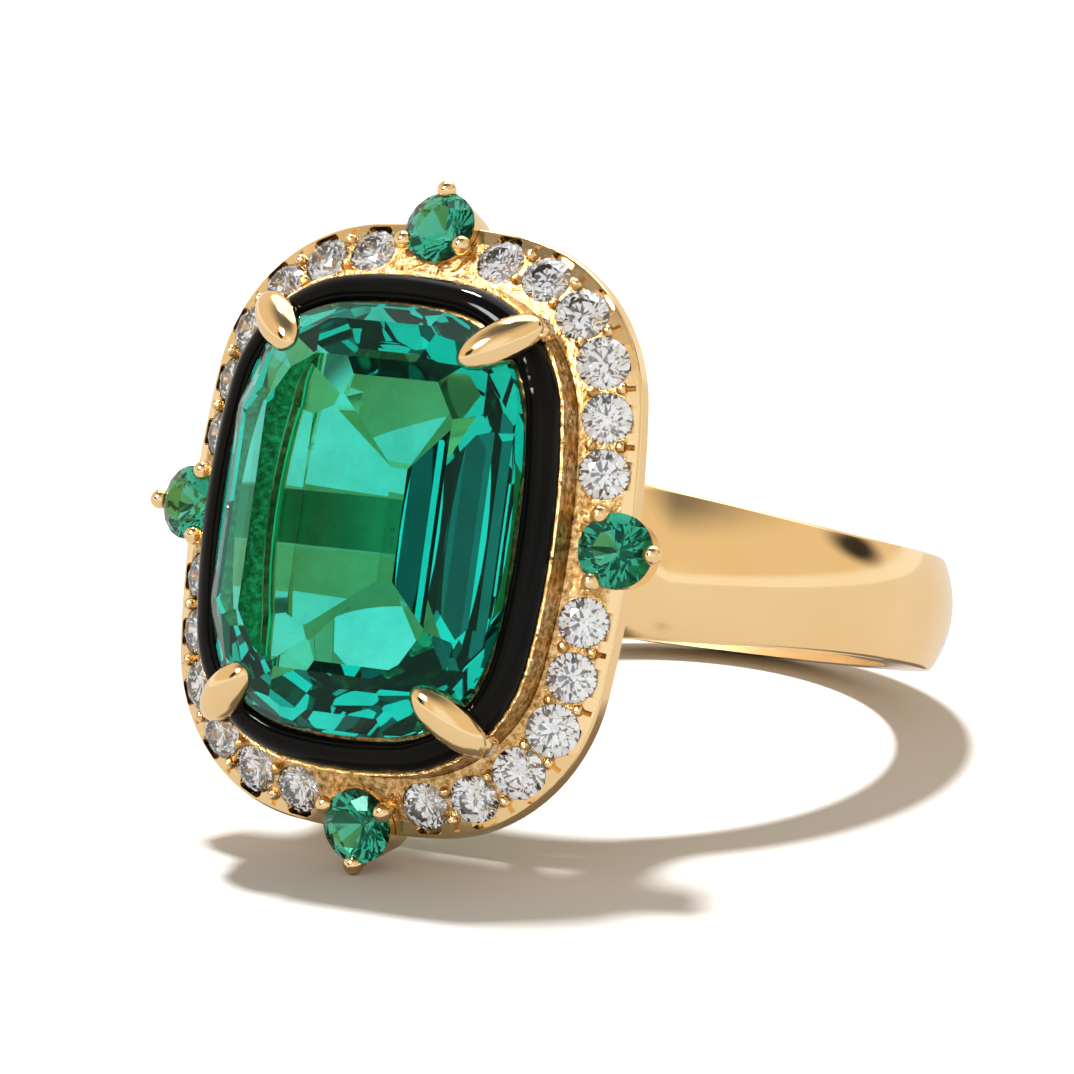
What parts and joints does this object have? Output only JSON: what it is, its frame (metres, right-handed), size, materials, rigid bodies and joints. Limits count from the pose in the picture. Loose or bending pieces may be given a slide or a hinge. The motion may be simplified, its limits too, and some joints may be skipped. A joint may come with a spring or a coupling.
{
  "type": "cocktail ring",
  "caption": "Ring with a cushion-cut green centre stone in a black frame and pave halo, round green stones at the four points, and a flat gold band.",
  "frame": {"origin": "centre of the finger hole, on the finger axis and midway across the band", "axes": "+Z along the finger axis, towards the head's north end; -Y from the finger axis out through the head; +X to the right for someone who looks at the head from the front"},
  "size_m": [0.021, 0.0266, 0.0198],
  "materials": {
    "gold": "polished 18 ct yellow gold",
    "emerald": "polished facets",
    "diamond": "polished facets",
    "black_inlay": "high gloss"
  },
  "bodies": {
    "root": {"accent_collet_east": "gold", "accent_collet_north": "gold", "accent_collet_south": "gold", "accent_collet_west": "gold", "accent_emerald_east": "emerald", "accent_emerald_north": "emerald", "accent_emerald_south": "emerald", "accent_emerald_west": "emerald", "black_frame": "black_inlay", "centre_emerald": "emerald", "claw_north_east": "gold", "claw_north_west": "gold", "claw_south_east": "gold", "claw_south_west": "gold", "diamond_north_east_1": "diamond", "diamond_north_east_2": "diamond", "diamond_north_east_3": "diamond", "diamond_north_east_4": "diamond", "diamond_north_east_5": "diamond", "diamond_north_east_6": "diamond", "diamond_north_west_1": "diamond", "diamond_north_west_2": "diamond", "diamond_north_west_3": "diamond", "diamond_north_west_4": "diamond", "diamond_north_west_5": "diamond", "diamond_north_west_6": "diamond", "diamond_south_east_1": "diamond", "diamond_south_east_2": "diamond", "diamond_south_east_3": "diamond", "diamond_south_east_4": "diamond", "diamond_south_east_5": "diamond", "diamond_south_east_6": "diamond", "diamond_south_west_1": "diamond", "diamond_south_west_2": "diamond", "diamond_south_west_3": "diamond", "diamond_south_west_4": "diamond", "diamond_south_west_5": "diamond", "diamond_south_west_6": "diamond", "frame_tray": "gold", "gallery_posts": "gold", "gallery_rail": "gold", "halo_plate": "gold", "shank": "gold"}
  },
  "joints": []
}
